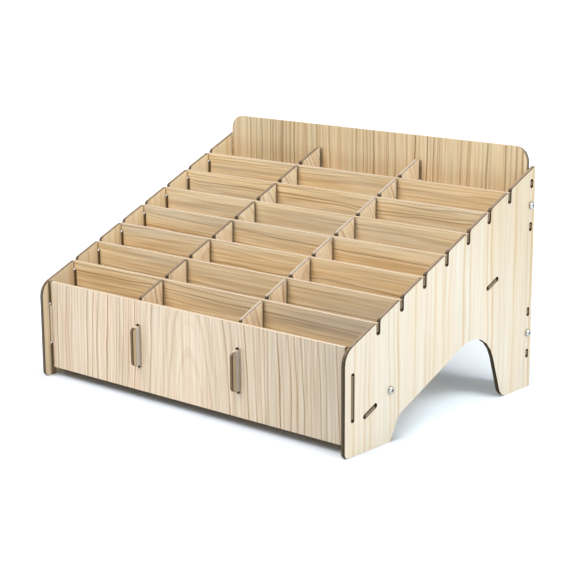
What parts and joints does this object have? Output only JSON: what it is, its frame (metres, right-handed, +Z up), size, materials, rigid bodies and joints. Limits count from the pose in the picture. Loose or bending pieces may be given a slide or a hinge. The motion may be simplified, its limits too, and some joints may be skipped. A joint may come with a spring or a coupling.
{
  "type": "phone organizer",
  "caption": "Sloped desktop organizer of flat wooden boards, with rows of upright bays for phones behind one another, lift-out cross dividers and arched side feet.",
  "frame": {"origin": "on the floor, under the middle of the object's bounding box", "axes": "+X to the right side panel as seen from the front, +Y from the front panel to the back panel, +Z up"},
  "size_m": [0.3346, 0.24, 0.1985],
  "materials": {
    "pale_board": "pale wood-grain laminate, matt, with dark laser-cut edges",
    "tan_board": "tan wood-grain laminate, matt, with dark laser-cut edges",
    "bright_steel": "bright plated steel"
  },
  "bodies": {
    "frame": {"left_side_panel": "pale_board", "right_side_panel": "pale_board", "front_panel": "pale_board", "back_panel": "tan_board", "bottom_panel": "tan_board", "left_lengthwise_divider": "tan_board", "right_lengthwise_divider": "tan_board", "left_bottom_screw": "bright_steel", "left_bottom_nut": "bright_steel", "left_back_lower_screw": "bright_steel", "left_back_lower_nut": "bright_steel", "left_back_upper_screw": "bright_steel", "left_back_upper_nut": "bright_steel", "right_bottom_screw": "bright_steel", "right_bottom_nut": "bright_steel", "right_back_lower_screw": "bright_steel", "right_back_lower_nut": "bright_steel", "right_back_upper_screw": "bright_steel", "right_back_upper_nut": "bright_steel"},
    "divider_1": {"cross_divider_1": "tan_board"},
    "divider_2": {"cross_divider_2": "tan_board"},
    "divider_3": {"cross_divider_3": "tan_board"},
    "divider_4": {"cross_divider_4": "tan_board"},
    "divider_5": {"cross_divider_5": "tan_board"},
    "divider_6": {"cross_divider_6": "tan_board"},
    "divider_7": {"cross_divider_7": "tan_board"}
  },
  "joints": [
    {"name": "divider_1_lift", "type": "slide", "parent": "frame", "child": "divider_1", "axis": [0, 0, 1], "range_m": [0, 0.07]},
    {"name": "divider_2_lift", "type": "slide", "parent": "frame", "child": "divider_2", "axis": [0, 0, 1], "range_m": [0, 0.07]},
    {"name": "divider_3_lift", "type": "slide", "parent": "frame", "child": "divider_3", "axis": [0, 0, 1], "range_m": [0, 0.07]},
    {"name": "divider_4_lift", "type": "slide", "parent": "frame", "child": "divider_4", "axis": [0, 0, 1], "range_m": [0, 0.07]},
    {"name": "divider_5_lift", "type": "slide", "parent": "frame", "child": "divider_5", "axis": [0, 0, 1], "range_m": [0, 0.07]},
    {"name": "divider_6_lift", "type": "slide", "parent": "frame", "child": "divider_6", "axis": [0, 0, 1], "range_m": [0, 0.07]},
    {"name": "divider_7_lift", "type": "slide", "parent": "frame", "child": "divider_7", "axis": [0, 0, 1], "range_m": [0, 0.07]}
  ]
}
